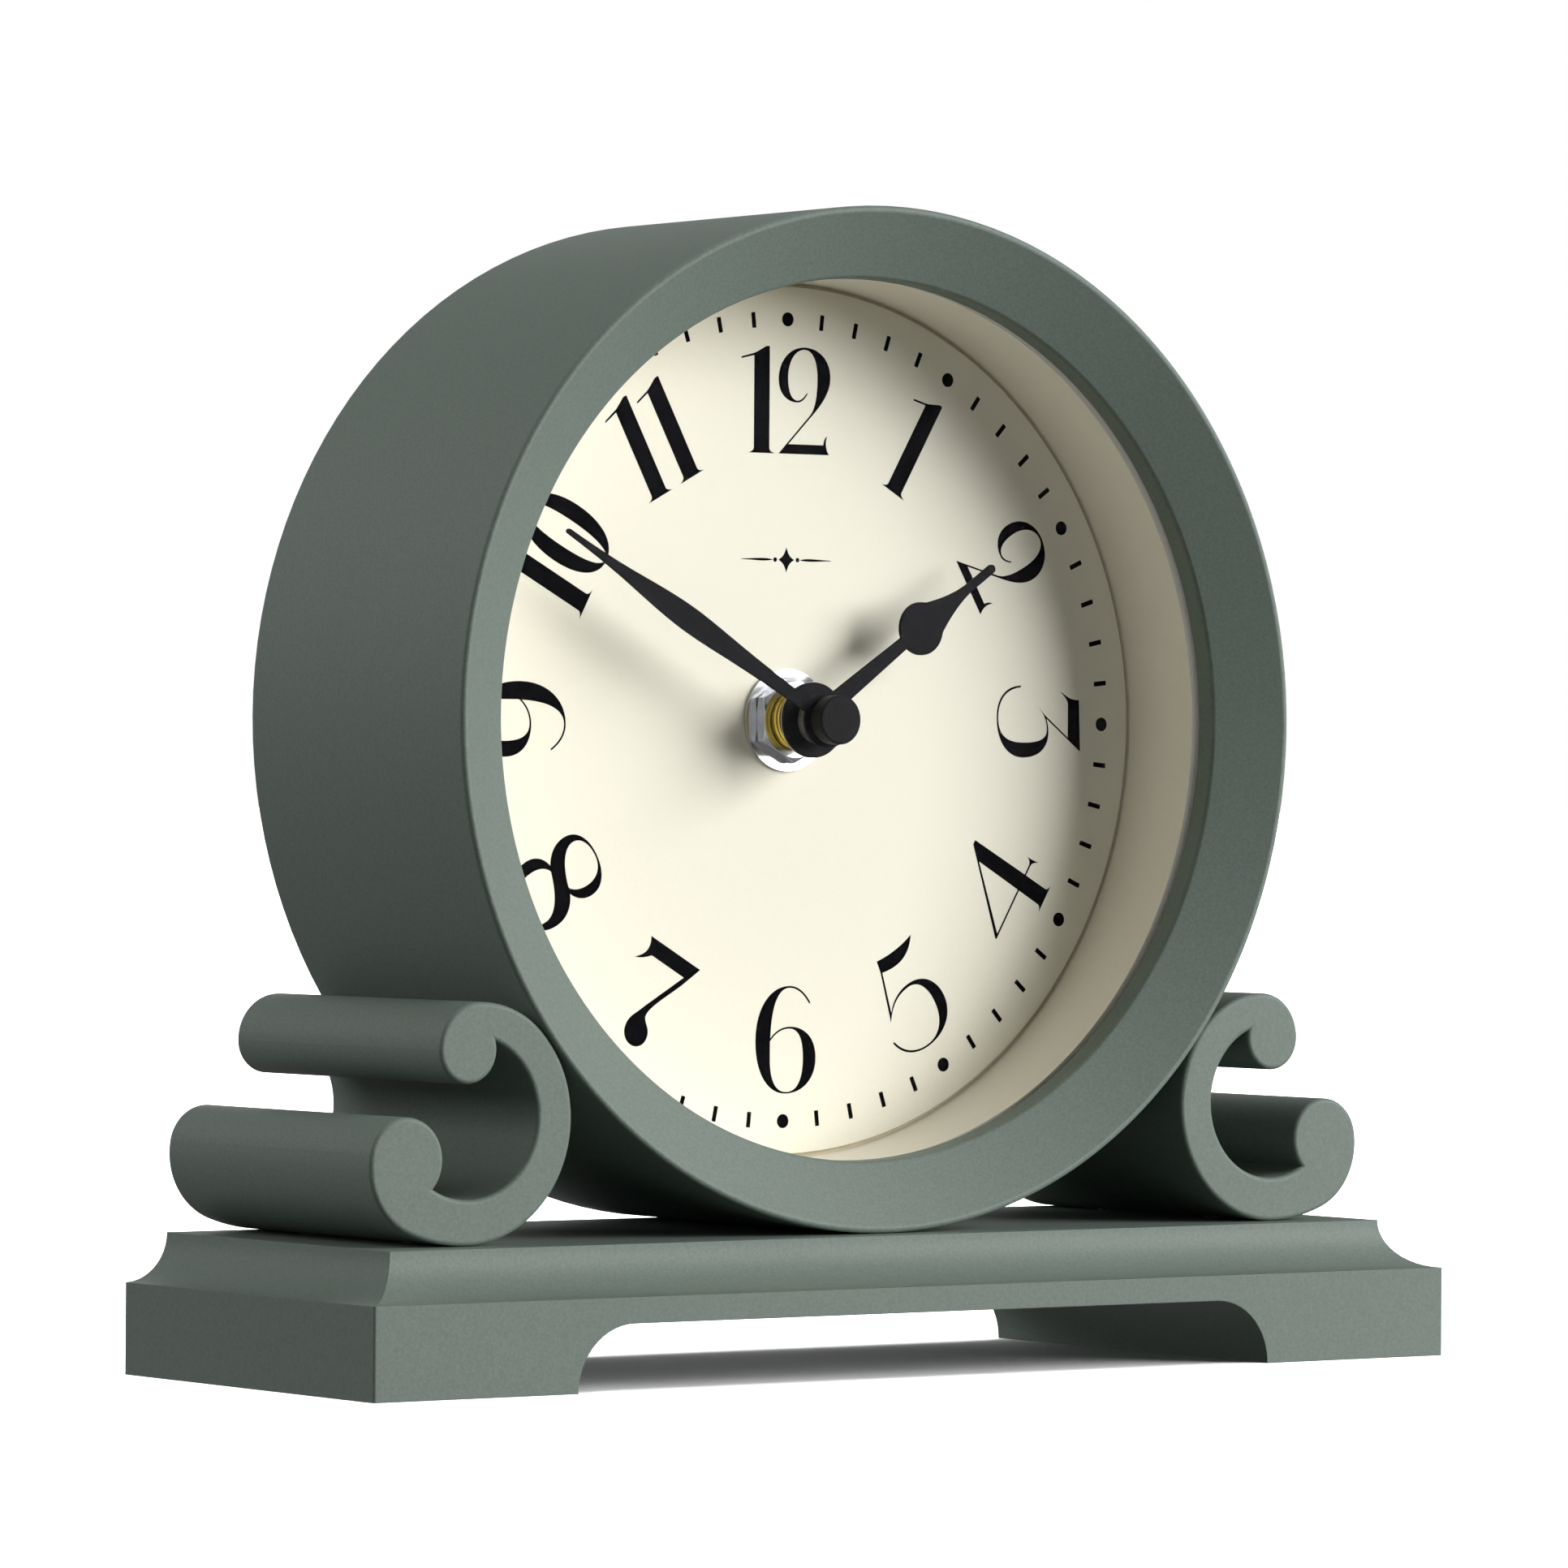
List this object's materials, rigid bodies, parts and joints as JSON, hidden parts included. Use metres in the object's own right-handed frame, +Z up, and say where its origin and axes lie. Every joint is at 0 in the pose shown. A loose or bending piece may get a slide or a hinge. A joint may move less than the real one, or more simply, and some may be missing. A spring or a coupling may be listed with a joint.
{
  "type": "mantel clock",
  "caption": "Round drum mantel clock between two C-scrolls on a coved, arched plinth, with an open dial, spade hands and a battery movement behind.",
  "frame": {"origin": "on the shelf, under the middle of the whole clock's box", "axes": "+Z up, the dial faces -Y, +X to the right as the dial is read"},
  "size_m": [0.175, 0.061, 0.1545],
  "materials": {
    "painted_wood": "satin grey-green paint on turned and moulded MDF",
    "cream_liner": "cream painted liner",
    "clear_lens": "clear flat lens",
    "dial_print": "matt cream printed dial",
    "raw_board": "raw MDF board",
    "pillar_wood": "beech pillars",
    "zinc_screw": "zinc plated wood screws",
    "chrome": "polished chrome plate",
    "brass": "turned brass",
    "black_rubber": "soft rubber washer",
    "hand_black": "satin black lacquer on stamped aluminium",
    "cap_black": "satin black cap",
    "movement_black": "moulded ABS",
    "white_acetal": "moulded acetal wheels",
    "steel": "turned steel",
    "magnet": "bonded ferrite magnet and pinion",
    "stator_steel": "stamped silicon steel",
    "copper": "enamelled copper wire on a bobbin",
    "circuit": "green solder mask",
    "nickel": "nickel plated spring steel",
    "cell_jacket": "plain foil jacket, no print"
  },
  "bodies": {
    "case": {"plinth": "painted_wood", "left_scroll": "painted_wood", "right_scroll": "painted_wood", "case_drum": "painted_wood", "inner_sleeve": "cream_liner", "lens": "clear_lens", "dial_plate": "dial_print", "backing_board": "raw_board", "back_panel": "raw_board", "panel_pillars": "pillar_wood", "panel_screws": "zinc_screw", "plinth_screws": "zinc_screw", "threaded_bush": "brass", "rubber_washer": "black_rubber", "steel_washer": "chrome", "hex_nut": "chrome", "stator": "stator_steel", "coil": "copper", "circuit_board": "circuit", "quartz_can": "nickel", "positive_contact": "nickel", "negative_contact": "nickel", "movement_housing": "movement_black", "movement_cover": "movement_black"},
    "minute_hand_group": {"minute_arbor": "steel", "minute_hand": "hand_black", "minute_hand_collet": "nickel", "cap_nut": "cap_black"},
    "hour_hand_group": {"hour_wheel": "white_acetal", "hour_hand": "hand_black", "hour_hand_collet": "brass"},
    "minute_wheel": {"minute_wheel": "white_acetal"},
    "setting_knob": {"setting_knob": "white_acetal"},
    "centre_wheel": {"centre_wheel": "white_acetal"},
    "third_wheel": {"third_wheel": "white_acetal"},
    "step_wheel": {"step_wheel": "white_acetal"},
    "rotor": {"rotor": "magnet"},
    "battery_cell": {"battery_cell": "cell_jacket"}
  },
  "joints": [
    {"name": "minute_hand_turn", "type": "hinge", "parent": "case", "child": "minute_hand_group", "pos_m": [0, 0.0037, 0.08655], "axis": [0, 1, 0], "continuous": true},
    {"name": "hour_hand_turn", "type": "hinge", "parent": "case", "child": "hour_hand_group", "pos_m": [0, 0.0037, 0.08655], "axis": [0, 1, 0], "continuous": true},
    {"name": "minute_wheel_turn", "type": "hinge", "parent": "case", "child": "minute_wheel", "pos_m": [0.005, 0.0037, 0.09521], "axis": [0, 1, 0], "continuous": true},
    {"name": "setting_knob_turn", "type": "hinge", "parent": "case", "child": "setting_knob", "pos_m": [0.01304, 0.0037, 0.10196], "axis": [0, 1, 0], "continuous": true},
    {"name": "rotor_turn", "type": "hinge", "parent": "case", "child": "rotor", "pos_m": [-0.01062, 0.0037, 0.10215], "axis": [0, 1, 0], "continuous": true},
    {"name": "step_wheel_turn", "type": "hinge", "parent": "case", "child": "step_wheel", "pos_m": [-0.0116, 0.0037, 0.09664], "axis": [0, 1, 0], "continuous": true},
    {"name": "third_wheel_turn", "type": "hinge", "parent": "case", "child": "third_wheel", "pos_m": [-0.00913, 0.0037, 0.08987], "axis": [0, 1, 0], "continuous": true},
    {"name": "centre_wheel_turn", "type": "hinge", "parent": "case", "child": "centre_wheel", "pos_m": [0, 0.0037, 0.08655], "axis": [0, 1, 0], "continuous": true},
    {"name": "battery_slide", "type": "slide", "parent": "case", "child": "battery_cell", "axis": [0, 1, 0], "range_m": [0, 0.03]}
  ],
  "couplings": [
    {"joint": "hour_hand_turn", "follows": "minute_hand_turn", "ratio": 0.083333},
    {"joint": "minute_wheel_turn", "follows": "minute_hand_turn", "ratio": -0.33333},
    {"joint": "setting_knob_turn", "follows": "minute_hand_turn", "ratio": 0.83333},
    {"joint": "step_wheel_turn", "follows": "rotor_turn", "ratio": -0.16667},
    {"joint": "third_wheel_turn", "follows": "rotor_turn", "ratio": 0.020833},
    {"joint": "centre_wheel_turn", "follows": "rotor_turn", "ratio": -0.0026042}
  ]
}
